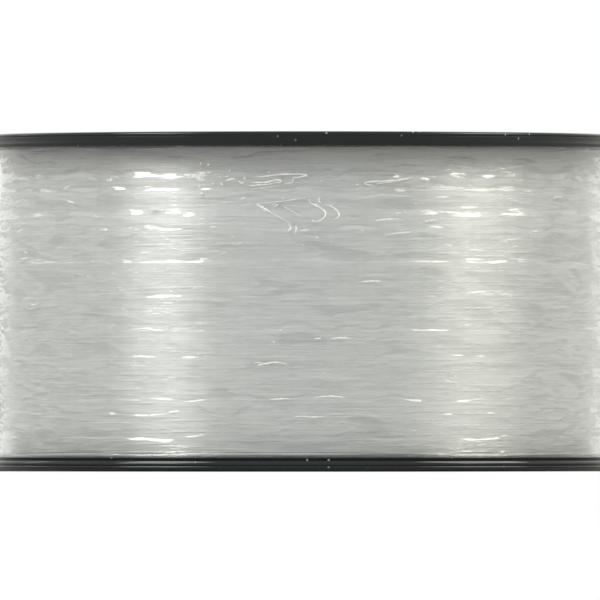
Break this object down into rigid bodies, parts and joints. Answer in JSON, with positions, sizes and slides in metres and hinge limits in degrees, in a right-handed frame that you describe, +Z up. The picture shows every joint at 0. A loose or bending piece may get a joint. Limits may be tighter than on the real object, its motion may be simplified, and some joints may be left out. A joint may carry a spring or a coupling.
{
  "type": "fishing line spool",
  "caption": "Bulk spool of clear monofilament fishing line: black moulded flanges on a tubular core, wound line under a clear wrinkled shrink film, ring labels and a spindle bore.",
  "frame": {"origin": "centre of the circle on which the lower flange's rim rests", "axes": "+Z up along the spool's axis, from the lower flange to the upper flange; the line's anchor hole in the core faces +Y"},
  "size_m": [0.104, 0.104, 0.0548],
  "materials": {
    "flange_plastic": "glossy black injection-moulded polystyrene",
    "core_plastic": "natural white moulded tube",
    "nylon_line": "clear nylon monofilament, whitish where many turns lie on each other",
    "clear_film": "thin clear shrink film with fine wrinkles",
    "label_paper": "coated paper with plain printed rings"
  },
  "bodies": {
    "root": {"lower_flange": "flange_plastic", "upper_flange": "flange_plastic", "lower_label": "label_paper", "upper_label": "label_paper", "core_barrel": "core_plastic", "line_winding": "nylon_line", "line_anchor_knot": "nylon_line", "film_band": "clear_film"}
  },
  "joints": []
}
